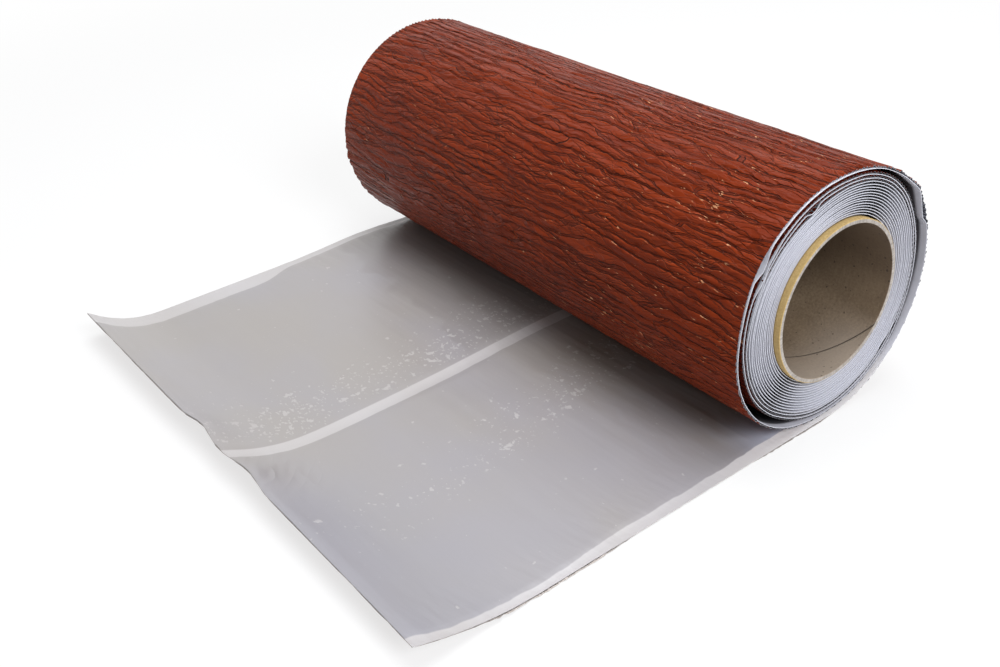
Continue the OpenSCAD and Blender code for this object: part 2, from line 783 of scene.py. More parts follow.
def only(piece: bpy.types.Object) -> None:
    """Selects one object and makes it the active one.

    Args:
        piece: The object.
    """
    bpy.ops.object.select_all(action="DESELECT")
    piece.select_set(True)
    bpy.context.view_layer.objects.active = piece


def apply_modifiers(piece: bpy.types.Object) -> None:
    """Applies all of a piece's modifiers, in order.

    Args:
        piece: The object.
    """
    only(piece)
    for modifier in list(piece.modifiers):
        bpy.ops.object.modifier_apply(modifier=modifier.name)


def join(pieces: Sequence[bpy.types.Object], name: str) -> bpy.types.Object:
    """Joins meshes into the first of them.

    Args:
        pieces: The objects to join.
        name: The joined object's name.

    Returns:
        The joined object.
    """
    only(pieces[0])
    for piece in pieces[1:]:
        piece.select_set(True)
    bpy.ops.object.join()
    pieces[0].name = name
    pieces[0].data.name = name
    return pieces[0]


@dataclass
class Sheet:
    """One layer of the strip, built flat with its depth upwards.

    Attributes:
        name: Name of the piece.
        start: Length from the cut end where it starts.
        stop: Length from the cut end where it stops.
        columns: How many faces it has along its length.
        rows: Places of its rows across the strip.
        depth: How deep its outer face lies under the painted face.
        thick: Its thickness.
    """

    name: str
    start: float
    stop: float
    columns: int
    rows: Sequence[float]
    depth: float
    thick: float

    def build(self) -> bpy.types.Object:
        """Makes the flat sheet.

        Returns:
            The closed, flat mesh.
        """
        bpy.ops.object.select_all(action="DESELECT")
        spans = len(self.rows) - 1
        bpy.ops.mesh.primitive_grid_add(x_subdivisions=self.columns, y_subdivisions=spans, size=1)
        sheet = bpy.context.object
        sheet.name = self.name
        bpy.ops.object.mode_set(mode="EDIT")
        bpy.ops.mesh.select_all(action="SELECT")
        bpy.ops.transform.resize(value=(self.stop - self.start, 1, 1))
        middle = (self.start + self.stop) / 2
        bpy.ops.transform.translate(value=(middle, 0, self.depth))
        bpy.ops.object.mode_set(mode="OBJECT")
        self._place_rows(sheet)
        solid = sheet.modifiers.new("thickness", "SOLIDIFY")
        solid.thickness = self.thick
        solid.offset = 1
        apply_modifiers(sheet)
        return sheet

    def _place_rows(self, sheet: bpy.types.Object) -> None:
        """Moves the evenly spaced rows to their own places.

        Args:
            sheet: The flat grid, 1 wide across its rows.
        """
        mesh = sheet.data
        places = np.empty(len(mesh.vertices) * 3, np.float32)
        mesh.vertices.foreach_get("co", places)
        places = places.reshape(-1, 3)
        order = np.rint((places[:, 1] + 0.5) * (len(self.rows) - 1)).astype(int)
        places[:, 1] = np.asarray(self.rows, np.float32)[order]
        mesh.vertices.foreach_set("co", places.ravel())
        mesh.update()


@dataclass
class Rolling:
    """Rolls flat sheets up along the winding's guides.

    Attributes:
        winding: The line that the strip follows.
        smooth_below: Angle between two faces up to which they are shaded smooth.
    """

    winding: Winding
    smooth_below: float = 55.0

    def roll(self, sheet: bpy.types.Object, relief: ReliefMaker) -> bpy.types.Object:
        """Gives a flat sheet its relief and rolls it up.

        Args:
            sheet: The flat, closed mesh.
            relief: Makes the sheet's relief.

        Returns:
            The same object, rolled up, with its flat place kept as an attribute.
        """
        tree = bpy.data.node_groups.new(f"roll_{sheet.name}", "GeometryNodeTree")
        tree.interface.new_socket("Geometry", in_out="INPUT", socket_type="NodeSocketGeometry")
        tree.interface.new_socket("Geometry", in_out="OUTPUT", socket_type="NodeSocketGeometry")
        bench = NodeBench(tree)
        source = bench.wire(bench.add("NodeGroupInput"))
        place = bench.wire(bench.add("GeometryNodeInputPosition"))
        flat = bench.scaled(place, 1 / MM)
        keep = {"data_type": "FLOAT_VECTOR", "domain": "POINT"}
        attribute = {"Geometry": source, "Name": FLAT_PLACE, "Value": flat}
        kept = bench.add("GeometryNodeStoreNamedAttribute", keep, attribute)
        along, across, depth = bench.parts(flat)
        line, tangent = self._line(bench, along, across)
        leftward, _, upward = bench.parts(tangent)
        shape = relief(bench, Spot(along, across, depth, (upward - leftward) * math.sqrt(0.5)))
        if isinstance(shape.back, Wire):
            line, tangent = self._line(bench, along + shape.back, across)
        facing = bench.vector_math("CROSS_PRODUCT", tangent, Vector((0, 1, 0)))
        inward = bench.vector_math("NORMALIZE", facing)
        lifted = bench.vector_math("ADD", line, bench.scaled(inward, (depth + shape.inward) * MM))
        sideways = bench.vector(0.0, (across + shape.slide) * MM, 0.0)
        rolled = bench.vector_math("ADD", lifted, sideways)
        sockets = {"Geometry": bench.wire(kept), "Position": rolled}
        moved = bench.add("GeometryNodeSetPosition", None, sockets)
        bench.add("NodeGroupOutput", None, {0: bench.wire(moved)})
        modifier = sheet.modifiers.new("roll_up", "NODES")
        modifier.node_group = tree
        apply_modifiers(sheet)
        only(sheet)
        bpy.ops.object.shade_smooth_by_angle(angle=math.radians(self.smooth_below))
        return sheet

    def _line(self, bench: NodeBench, along: Wire, across: Wire) -> tuple[Wire, Wire]:
        """Samples both guides and blends them across the roll.

        Args:
            bench: The node tree's helper.
            along: Length along the strip, in mm.
            across: Place across the strip, in mm.

        Returns:
            The place on the line, and the line's direction there.
        """
        share = along * (MM / self.winding.length)
        samples = []
        for end in (RollEnd.NEAR, RollEnd.FAR):
            info = bench.add("GeometryNodeObjectInfo", None, {"Object": self.winding.guides[end]})
            sample = bench.add(
                "GeometryNodeSampleCurve",
                {"mode": "FACTOR", "use_all_curves": True},
                {"Curves": bench.wire(info, "Geometry"), "Factor": share},
            )
            samples.append((bench.wire(sample, "Position"), bench.wire(sample, "Tangent")))
        blend = (across * (MM / self.winding.width)).ramp(-0.5, 0.5)
        place = bench.mix_vectors(blend, samples[0][0], samples[1][0])
        tangent = bench.mix_vectors(blend, samples[0][1], samples[1][1])
        return place, tangent


# ---------------------------------------------------------------------------
# Finishes
# ---------------------------------------------------------------------------


@dataclass(frozen=True)
class Finish:
    """A material with a principled shader.

    Attributes:
        name: Name of the material.
    """

    name: str

    def material(self) -> bpy.types.Material:
        """Makes the material.

        Returns:
            The material.
        """
        material = bpy.data.materials.new(self.name)
        material.use_nodes = True
        material.node_tree.nodes.clear()
        bench = NodeBench(material.node_tree)
        shader = bench.add("ShaderNodeBsdfPrincipled")
        bench.add("ShaderNodeOutputMaterial", None, {"Surface": bench.wire(shader)})
        self.dress(bench, shader)
        return material

    def dress(self, bench: NodeBench, shader: bpy.types.Node) -> None:
        """Fills the shader's sockets.

        Args:
            bench: The node tree's helper.
            shader: The material's principled shader.
        """
        raise NotImplementedError

    @staticmethod
    def link(bench: NodeBench, wire: Wire, shader: bpy.types.Node, socket: str) -> None:
        """Joins a wire to one of the shader's sockets."""
        bench.tree.links.new(wire.socket, shader.inputs[socket])

    @staticmethod
    def bump(bench: NodeBench, height: Wire) -> Wire:
        """Turns a height in mm into a normal."""
        sockets = {"Height": height * MM, "Distance": 1.0, "Strength": 1.0}
        return bench.wire(bench.add("ShaderNodeBump", None, sockets))


@dataclass(frozen=True)
class StripFinish(Finish):
    """A finish that changes along the strip.

    Attributes:
        roll_at: Length from the cut end where the free end goes over into the outer turn, in mm.
        wound_at: Length from the cut end where the tight turns start, in mm.
    """

    roll_at: float = 250.0
    wound_at: float = 560.0

    @staticmethod
    def flat_place(bench: NodeBench) -> tuple[Wire, Wire, Wire]:
        """Reads the place on the flat strip, in mm."""
        node = bench.add("ShaderNodeAttribute", {"attribute_name": FLAT_PLACE})
        return bench.parts(bench.wire(node, "Vector"))


@dataclass(frozen=True)
class PaintedMetal(StripFinish):
    """Terracotta coil coating on crimped sheet, with painted shade in its folds and between the wound
    turns, and painted highlights on its fold edges and bent facets.

    Attributes:
        pattern: The crimp's folds.
        deep: The coating's darkest shade.
        bright: Its lightest shade.
        pressed: Painted shade on a pressed-down pleat, sunk between two fold lines.
        painted_brow_highlight: Painted highlight on the rounded edge below a fold.
        crease: Painted shade in a fold line, for the shadow deep in the fold.
        painted_glint: Painted highlight, the colour of small glints on bent facets.
        wound: Painted shade on the coating between the tight turns.
    """

    pattern: CrimpPattern = CrimpPattern()
    deep: Colour = srgb(99, 30, 8)
    bright: Colour = srgb(136, 49, 14)
    pressed: Colour = srgb(72, 23, 10)
    painted_brow_highlight: Colour = srgb(186, 84, 46)
    crease: Colour = srgb(40, 12, 6)
    painted_glint: Colour = srgb(228, 166, 122)
    wound: Colour = srgb(52, 12, 14)

    def dress(self, bench: NodeBench, shader: bpy.types.Node) -> None:
        """Fills the shader's sockets.

        Args:
            bench: The node tree's helper.
            shader: The material's principled shader.
        """
        along, across, _ = self.flat_place(bench)
        folds = self.pattern.folds(bench, along, across)
        cloud = bench.noise(along / 40, across / 70, 21.0, 3.0).ramp(-0.3, 0.3)
        fine = bench.noise(along / 2.2, across / 7, 23.0, 3.0)
        body = bench.mix_colours(cloud * 0.4 + folds.tone * 0.6, self.deep, self.bright)
        # Painted shade on the pressed pleats and in the fold lines, and a painted highlight on the edge
        # below each fold.
        body = bench.mix_colours(folds.pressed * 0.4, body, self.pressed)
        body = bench.mix_colours(folds.painted_brow_highlight * 0.5, body, self.painted_brow_highlight)
        body = bench.mix_colours(folds.line * 0.9, body, self.crease)
        # Painted glints: small highlights on bent facets.
        body = bench.mix_colours(self.painted_glints(bench, along, across, folds) * 0.85, body, self.painted_glint)
        # Painted shade on the coating between the tight turns.
        wound = along.ramp(self.wound_at, self.wound_at + 30)
        body = bench.mix_colours(wound * 0.62, body, self.wound)
        self.link(bench, body, shader, "Base Color")
        height = fine * 0.06 + folds.small - folds.line * 0.2 - folds.pressed * 0.12
        self.link(bench, self.bump(bench, height), shader, "Normal")
        self.link(bench, 0.34 + fine * 0.12 + folds.line * 0.2, shader, "Roughness")
        shader.inputs["Specular IOR Level"].default_value = 0.09

    @staticmethod
    def painted_glints(bench: NodeBench, along: Wire, across: Wire, folds: Folds) -> Wire:
        """Places small painted glints, highlights on bent facets, in loose clusters, mostly along the
        folds.

        Args:
            bench: The node tree's helper.
            along: Length along the strip, in mm.
            across: Place across the strip, in mm.
            folds: The marks of the pleats.

        Returns:
            1 on a painted glint and 0 elsewhere.
        """
        grain = bench.noise(along / 1.3 + across / 9, across / 4.6, 25.0, 2.0, 0.6)
        crowd = bench.noise(along / 24, across / 26, 27.0, 2.0)
        near = across.ramp(40.0, -120.0) * 0.07
        small = (grain + crowd * 0.34 + near + folds.painted_brow_highlight * 0.18 - 0.3).ramp(0.0, 0.05)
        smear = bench.noise((along + across * 0.3) / 2.6, across / 5.2, 29.0, 2.0, 0.55)
        # A patch where the larger painted glints crowd.
        painted_glint = along.hump(436.0, 40.0) * across.hump(-116.0, 34.0) * 0.13
        large = (smear + crowd * 0.2 + painted_glint + near * 0.5 - folds.line * 0.3 - 0.3).ramp(0.0, 0.06)
        return small.at_least(large)


@dataclass(frozen=True)
class BareMetal(StripFinish):
    """Bare aluminium on the inner face and the cut edges, with painted light on the free end and painted
    shade between the tight turns.

    Attributes:
        deep: Its darkest streaks.
        bright: Its lightest streaks.
        free_end_painted_light: Painted light, a lighter warm tone on the free end's metal.
        wound: Painted shade on it between the tight turns.
    """

    deep: Colour = srgb(92, 92, 98)
    bright: Colour = srgb(206, 208, 214)
    free_end_painted_light: Colour = srgb(214, 203, 194)
    wound: Colour = srgb(52, 48, 52)

    def dress(self, bench: NodeBench, shader: bpy.types.Node) -> None:
        """Fills the shader's sockets.

        Args:
            bench: The node tree's helper.
            shader: The material's principled shader.
        """
        along, across, _ = self.flat_place(bench)
        streak = bench.noise(along / 0.8, across / 6, 31.0, 2.0)
        tone = bench.mix_colours(streak.ramp(-0.05, 0.16), self.deep, self.bright)
        free = along.ramp(self.roll_at, self.roll_at - 20)
        wound = along.ramp(self.wound_at, self.wound_at + 30)
        # Painted light on the free end's metal.
        tone = bench.mix_colours(free * 0.6, tone, self.free_end_painted_light)
        # Painted shade on the metal between the tight turns.
        tone = bench.mix_colours(wound * 0.6, tone, self.wound)
        self.link(bench, tone, shader, "Base Color")
        shader.inputs["Metallic"].default_value = 0.7
        self.link(bench, 0.38 + streak * 0.2, shader, "Roughness")


@dataclass(frozen=True)
class Butyl(StripFinish):
    """Dark butyl adhesive.

    Attributes:
        deep: Its darkest shade.
        bright: Its lightest shade.
    """

    deep: Colour = srgb(20, 20, 22)
    bright: Colour = srgb(38, 38, 41)

    def dress(self, bench: NodeBench, shader: bpy.types.Node) -> None:
        """Fills the shader's sockets.

        Args:
            bench: The node tree's helper.
            shader: The material's principled shader.
        """
        along, across, _ = self.flat_place(bench)
        grain = bench.noise(along / 1.5, across / 1.5, 41.0, 3.0)
        tone = bench.mix_colours(grain.ramp(-0.3, 0.3), self.deep, self.bright)
        self.link(bench, tone, shader, "Base Color")
        self.link(bench, self.bump(bench, grain * 0.1), shader, "Normal")
        self.link(bench, 0.6 + grain * 0.2, shader, "Roughness")


@dataclass(frozen=True)
class PlasticFilm(StripFinish):
    """Semi-clear release film over adhesive and over dry bands, with painted shade, painted reflection
    and painted light by the roll, and painted shade deep between the turns.

    Attributes:
        pattern: Where the film lies on adhesive.
        stuck_warm: Warmer shade where it lies on adhesive.
        stuck_cool: Cooler shade there.
        by_cut: Shade beside the cut end.
        by_roll: Painted shade and painted reflection of the roll, in front of it.
        corner: Painted light, a lighter bluish patch in the near corner by the roll.
        crept: Shade of the soft lobes where it has crept.
        dry_deep: Darkest shade over the dry bands.
        dry_bright: Lightest shade there.
        near_dry_painted_light: Painted light, a lighter tone on the near dry band by the roll, where the
            roll shades it.
        turns: Shade on the turns.
        bubble: Shade where air sits under it.
        wound: Dark tone deep between the turns, partly the adhesive behind the film and partly painted
            shade.
    """

    pattern: FilmPattern = FilmPattern()
    stuck_warm: Colour = srgb(156, 151, 148)
    stuck_cool: Colour = srgb(154, 151, 156)
    by_cut: Colour = srgb(150, 150, 160)
    by_roll: Colour = srgb(130, 121, 112)
    corner: Colour = srgb(180, 186, 204)
    crept: Colour = srgb(136, 131, 128)
    dry_deep: Colour = srgb(184, 180, 179)
    dry_bright: Colour = srgb(190, 187, 189)
    near_dry_painted_light: Colour = srgb(226, 222, 222)
    turns: Colour = srgb(212, 212, 221)
    bubble: Colour = srgb(200, 197, 196)
    wound: Colour = srgb(30, 28, 32)

    def dress(self, bench: NodeBench, shader: bpy.types.Node) -> None:
        """Fills the shader's sockets.

        Args:
            bench: The node tree's helper.
            shader: The material's principled shader.
        """
        along, across, depth = self.flat_place(bench)
        wetted = self.pattern.wetted(bench, along, across)
        cloud = bench.noise(along / 55, across / 80, 51.0, 2.0) + across.ramp(20.0, -150.0) * 0.25
        cloud = cloud.ramp(-0.2, 0.4)
        bubbles = self.bubbles(bench, along, across) * wetted
        on_adhesive = self.on_adhesive(bench, along, across, cloud)
        tone = bench.mix_colours(wetted, self.dry(bench, along, across, cloud), on_adhesive)
        tone = bench.mix_colours(bubbles * 0.42, tone, self.bubble)
        # Darkens the film deep between the turns: the adhesive behind it and painted shade in the gaps.
        adhesive_and_gap_shade = self.adhesive_and_gap_shade(along, across, depth, self.upper(bench))
        tone = bench.mix_colours(adhesive_and_gap_shade * 0.9, tone, self.wound)
        self.link(bench, tone, shader, "Base Color")
        ripple = bench.noise(along / 5, across / 30, 53.0, 2.0)
        near_roll = along.ramp(110.0, 200.0)
        streaks = bench.noise(along / 9, across / 90, 55.0, 2.0) * (0.16 + near_roll * 0.85)
        creases = self.creases(bench, along, across)
        height = ripple * 0.05 + bubbles * 0.05 + streaks + creases
        self.link(bench, self.bump(bench, height), shader, "Normal")
        self.link(bench, 0.34 + bubbles * 0.15 + ripple * 0.1, shader, "Roughness")
        shader.inputs["Specular IOR Level"].default_value = 0.75

    def on_adhesive(self, bench: NodeBench, along: Wire, across: Wire, cloud: Wire) -> Wire:
        """Colours the film where it lies on adhesive.

        Args:
            bench: The node tree's helper.
            along: Length along the strip, in mm.
            across: Place across the strip, in mm.
            cloud: Slow change over the film, from 0 to 1.

        Returns:
            The colour.
        """
        tone = bench.mix_colours(cloud, self.stuck_warm, self.stuck_cool)
        by_cut = along.ramp(70.0, 10.0) * across.ramp(-10.0, -60.0)
        tone = bench.mix_colours(by_cut * 0.6, tone, self.by_cut)
        # Painted shade and painted reflection of the roll in front of it, in streaks.
        by_roll = along.ramp(120.0, 205.0) * across.ramp(0.0, -40.0) * across.ramp(-146.0, -124.0)
        wave = bench.noise(along / 24, across / 20, 52.0, 1.0) * 2.4
        shade = bench.noise(along / 6.5 + wave, across / 60, 54.0, 2.0).ramp(-0.2, 0.2)
        tone = bench.mix_colours(by_roll * (0.5 + shade * 0.42), tone, self.by_roll)
        # Painted light, a lighter bluish patch in the near corner by the roll.
        corner = along.ramp(168.0, 192.0) * across.ramp(-118.0, -138.0)
        tone = bench.mix_colours(corner * 0.6, tone, self.corner)
        return bench.mix_colours(self.lobes(bench, along, across), tone, self.crept)

    def dry(self, bench: NodeBench, along: Wire, across: Wire, cloud: Wire) -> Wire:
        """Colours the film over the dry bands and on the turns.

        Args:
            bench: The node tree's helper.
            along: Length along the strip, in mm.
            across: Place across the strip, in mm.
            cloud: Slow change over the film, from 0 to 1.

        Returns:
            The colour.
        """
        tone = bench.mix_colours(cloud, self.dry_deep, self.dry_bright)
        # Painted light on the near dry band by the roll, where the roll shades it.
        near = along.ramp(140.0, 186.0) * across.ramp(-120.0, -140.0)
        tone = bench.mix_colours(near, tone, self.near_dry_painted_light)
        return bench.mix_colours(along.ramp(self.roll_at, self.roll_at + 20), tone, self.turns)

    def upper(self, bench: NodeBench) -> Wire:
        """Tells the roll's upper side from its other sides, where the painted shade between the turns
        reaches nearer the edge.

        Args:
            bench: The node tree's helper.

        Returns:
            1 on the upper side and 0 elsewhere.
        """
        place = bench.scaled(bench.wire(bench.add("ShaderNodeTexCoord"), "Object"), 1 / MM)
        aside, _, up = bench.parts(place)
        return (aside * 0.26 + (up - AXIS_Z / MM) * 0.97).ramp(24.0, 42.0)

    def adhesive_and_gap_shade(self, along: Wire, across: Wire, depth: Wire, upper: Wire) -> Wire:
        """Is 1 on the film deep between the turns, darkened partly by the adhesive behind it and partly
        by painted shade.

        Args:
            along: Length along the strip, in mm.
            across: Place across the strip, in mm.
            depth: Depth under the painted face, in mm.
            upper: 1 on the upper side of the roll.

        Returns:
            The mask, 0 on the free end and on the visible edges.
        """
        inset = self.pattern.half_width - abs(across)
        wound = depth.ramp(1.04, 1.0)
        outer_face = depth.ramp(0.9, 0.8)
        outside = (inset + upper * 0.6).ramp(0.8, 1.3)
        packed = wound * (outer_face * outside + (1 - outer_face) * inset.ramp(1.4, 2.2))
        turn = (1 - wound) * along.ramp(self.roll_at, self.roll_at + 30) * inset.ramp(2.6, 4.4)
        return packed.at_least(turn)

    def lobes(self, bench: NodeBench, along: Wire, across: Wire) -> Wire:
        """Places the soft lobes where the film has crept over the adhesive beside the roll.

        Args:
            bench: The node tree's helper.
            along: Length along the strip, in mm.
            across: Place across the strip, in mm.

        Returns:
            How dark the film is there, from 0 to 1.
        """
        waver = bench.noise(along / 30, across / 24, 57.0, 1.0) * 34
        reach = along + waver - across.ramp(30.0, 90.0) * 12
        return (reach.ramp(136.0, 141.0) * 0.38 + reach.ramp(159.0, 167.0) * 0.3) * across.ramp(-6.0, 6.0)

    @staticmethod
    def creases(bench: NodeBench, along: Wire, across: Wire) -> Wire:
        """Makes the short creases along both edges and the dents by the cut end.

        Args:
            bench: The node tree's helper.
            along: Length along the strip, in mm.
            across: Place across the strip, in mm.

        Returns:
            Their height, in mm.
        """
        edge = abs(across).ramp(112.0, 146.0)
        short = bench.noise((along + across * 0.25) / 5.5, across / 26, 59.0, 2.0)
        dents = bench.noise((along - across * 0.6) / 12, across / 20, 58.0, 1.0)
        by_cut = along.ramp(60.0, 20.0) * across.hump(-26.0, 34.0)
        return short * edge * 0.24 + abs(dents) * by_cut * -1.2

    def bubbles(self, bench: NodeBench, along: Wire, across: Wire) -> Wire:
        """Lays the small patches where air sits under the film.

        Args:
            bench: The node tree's helper.
            along: Length along the strip, in mm.
            across: Place across the strip, in mm.

        Returns:
            1 inside a patch and 0 outside.
        """
        blot = bench.noise(along / 4.2, across / 5.4, 61.0, 2.5, 0.6)
        speck = bench.noise(along / 1.5, across / 2.2, 67.0, 1.0) * 0.72
        blot = blot.at_least(speck)
        crowd = bench.noise(along / 30, across / 24, 63.0, 2.0)
        beyond = across.ramp(-6.0, 2.0) * across.ramp(62.0, 10.0)
        before = abs(across + 84 - along * 0.19).ramp(30.0, 6.0)
        share = beyond * 0.1 + before * (0.054 + along.ramp(60.0, 120.0) * 0.044) + crowd * 0.17
        return (blot + share - 0.2).ramp(0.0, 0.04)


@dataclass(frozen=True)
class Cardboard(Finish):
    """Spiral-wound grey board with a tan outer ply, with painted shade and painted light in the bore and
    painted shade where the strip covers it.

    Attributes:
        inner_r: Bore radius.
        outer_r: Outer radius.
        half_length: Half the tube's length, in mm.
        lead: How far the plies' seam goes along the tube in one turn, in mm.
        seam_at: Where the seam starts, in mm.
        wall_deep: Darkest shade of the wall inside the bore.
        wall_bright: Its lightest shade.
        wall_upper_painted_shade: Painted shade on the wall's upper side.
        wall_mouth_painted_light: Painted light on the wall low down by the mouth.
        fleck: Shade of the dark flecks in the board.
        seam_line: Shade of the seam.
        rim_deep: Darkest shade of the rims.
        rim_bright: Their lightest shade.
        ply_deep: Darkest shade of the outer ply.
        ply_bright: Its lightest shade.
        covered_painted_shade: Painted shade on the outer ply where it goes in under the strip.
    """

    inner_r: float = 0.0
    outer_r: float = 0.0
    half_length: float = HALF_WIDTH
    lead: float = 121.1
    seam_at: float = 163.1
    wall_deep: Colour = srgb(96, 79, 60)
    wall_bright: Colour = srgb(128, 109, 86)
    wall_upper_painted_shade: Colour = srgb(88, 70, 53)
    wall_mouth_painted_light: Colour = srgb(176, 162, 148)
    fleck: Colour = srgb(52, 41, 32)
    seam_line: Colour = srgb(46, 38, 30)
    rim_deep: Colour = srgb(138, 130, 122)
    rim_bright: Colour = srgb(176, 168, 160)
    ply_deep: Colour = srgb(176, 146, 92)
    ply_bright: Colour = srgb(196, 168, 112)
    covered_painted_shade: Colour = srgb(58, 54, 58)

    def dress(self, bench: NodeBench, shader: bpy.types.Node) -> None:
        """Fills the shader's sockets.

        Args:
            bench: The node tree's helper.
            shader: The material's principled shader.
        """
        place = bench.wire(bench.add("ShaderNodeTexCoord"), "Object")
        across, along, up = bench.parts(bench.scaled(place, 1 / MM))
        up = up - AXIS_Z / MM
        radius = bench.math("SQRT", across * across + up * up)
        outside = radius.ramp(self.outer_r / MM - 0.45, self.outer_r / MM - 0.2)
        inside = radius.ramp(self.inner_r / MM + 0.3, self.inner_r / MM + 0.1)
        girth = bench.math("ARCTAN2", across, up + 0.01) * (self.inner_r / MM)
        grain = bench.noise(across / 1.1, along / 1.4, 71.0, 4.0, 0.6)
        grain = grain + bench.noise(up / 1.2, along / 1.1, 73.0, 4.0, 0.6)
        fibre = grain * 0.6 + bench.noise(girth / 0.9, along / 1.3, 79.0, 3.0, 0.6)
        seam = self.seam(bench, across, along, up)
        wall = self.bore_wall(bench, along, up, girth, fibre)
        wall = bench.mix_colours(seam * 0.75, wall, self.seam_line)
        rim = bench.mix_colours(fibre.ramp(-0.3, 0.3), self.rim_deep, self.rim_bright)
        ply = bench.mix_colours(fibre.ramp(-0.3, 0.3), self.ply_deep, self.ply_bright)
        tone = bench.mix_colours(inside, rim, wall)
        tone = bench.mix_colours(outside, tone, ply)
        # Painted shade on the outer ply where it goes in under the strip.
        shade_under_strip = outside * abs(along).ramp(self.half_length - 2.6, self.half_length - 3.6)
        tone = bench.mix_colours(shade_under_strip * 0.75, tone, self.covered_painted_shade)
        self.link(bench, tone, shader, "Base Color")
        height = fibre * 0.12 - seam * inside * 0.3
        self.link(bench, self.bump(bench, height), shader, "Normal")
        shader.inputs["Roughness"].default_value = 0.85

    def seam(self, bench: NodeBench, across: Wire, along: Wire, up: Wire) -> Wire:
        """Draws the helical seam of the plies.

        Args:
            bench: The node tree's helper.
            across: Distance aside of the axis, in mm.
            along: Place along the tube, in mm.
            up: Distance above the axis, in mm.

        Returns:
            1 on the seam and 0 elsewhere.
        """
        twist = self.lead / (2 * math.pi)
        wound = (along + bench.math("ARCTAN2", up, across) * twist + self.seam_at) / self.lead
        return (bench.math("PINGPONG", wound, 0.5) * self.lead).ramp(0.55, 0.1)

    def bore_wall(self, bench: NodeBench, along: Wire, up: Wire, girth: Wire, fibre: Wire) -> Wire:
        """Colours the board inside the bore, with painted shade towards the top and painted light low
        down by the mouth.

        Args:
            bench: The node tree's helper.
            along: Place along the tube, in mm.
            up: Distance above the axis, in mm.
            girth: Place round the bore, in mm.
            fibre: The board's grain.

        Returns:
            The colour, without the seam.
        """
        speck = bench.noise(girth / 1.5, along / 1.5, 75.0, 0.0).ramp(0.25, 0.3)
        cloud = bench.noise(girth / 14, along / 20, 77.0, 2.0)
        tone = bench.mix_colours((fibre + cloud).ramp(-0.5, 0.5), self.wall_deep, self.wall_bright)
        # Painted shade, darker towards the top of the bore.
        tone = bench.mix_colours(up.ramp(-28.0, 20.0) * 0.8, tone, self.wall_upper_painted_shade)
        # Painted light, lighter low down by the mouth.
        mouth = abs(along).ramp(self.half_length - 34, self.half_length) * up.ramp(-16.0, -34.0)
        tone = bench.mix_colours(mouth * 0.6, tone, self.wall_mouth_painted_light)
        return bench.mix_colours(speck * 0.7, tone, self.fleck)


class SharedMaterial:
    """A finish whose material is made once and shared."""

    def __init__(self, finish: Finish) -> None:
        """Keeps the finish."""
        self.finish = finish
        self.made: bpy.types.Material | None = None

    def material_once(self) -> bpy.types.Material:
        """Gives the material, making it the first time.

        Returns:
            The material, the same one each time.
        """
        if self.made is None:
            self.made = self.finish.material()
        return self.made


PAINT = SharedMaterial(PaintedMetal("terracotta_coating"))
BARE = SharedMaterial(BareMetal("bare_aluminium"))
BUTYL = SharedMaterial(Butyl("butyl_adhesive"))
FILM = SharedMaterial(PlasticFilm("release_film"))


# ---------------------------------------------------------------------------
# The pieces
# ---------------------------------------------------------------------------


def spread_rows(width: float, count: int, power: float) -> list[float]:
    """Places rows across the strip, closer together towards both edges.

    Args:
        width: Width of the strip.
        count: How many spans there are.
        power: How much closer the outer rows lie; 1 is even.

    Returns:
        The rows' places.
    """
    rows = []
    for row in range(count + 1):
        share = 2 * row / count - 1
        rows.append(math.copysign(1 - (1 - abs(share)) ** power, share) * width / 2)
    return rows


@dataclass(frozen=True)
class Lift:
    """A place where a turn's free edge stands off inwards at the near end.

    Attributes:
        start: Unwound angle where it starts.
        rise: Angle over which it rises.
        hold: Angle over which it stays.
        fall: Angle over which it goes back.
        height: How far it stands off, in mm.
        reach: How far it goes in from the edge, in mm.
    """

    start: float
    rise: float
    hold: float
    fall: float
    height: float
    reach: float


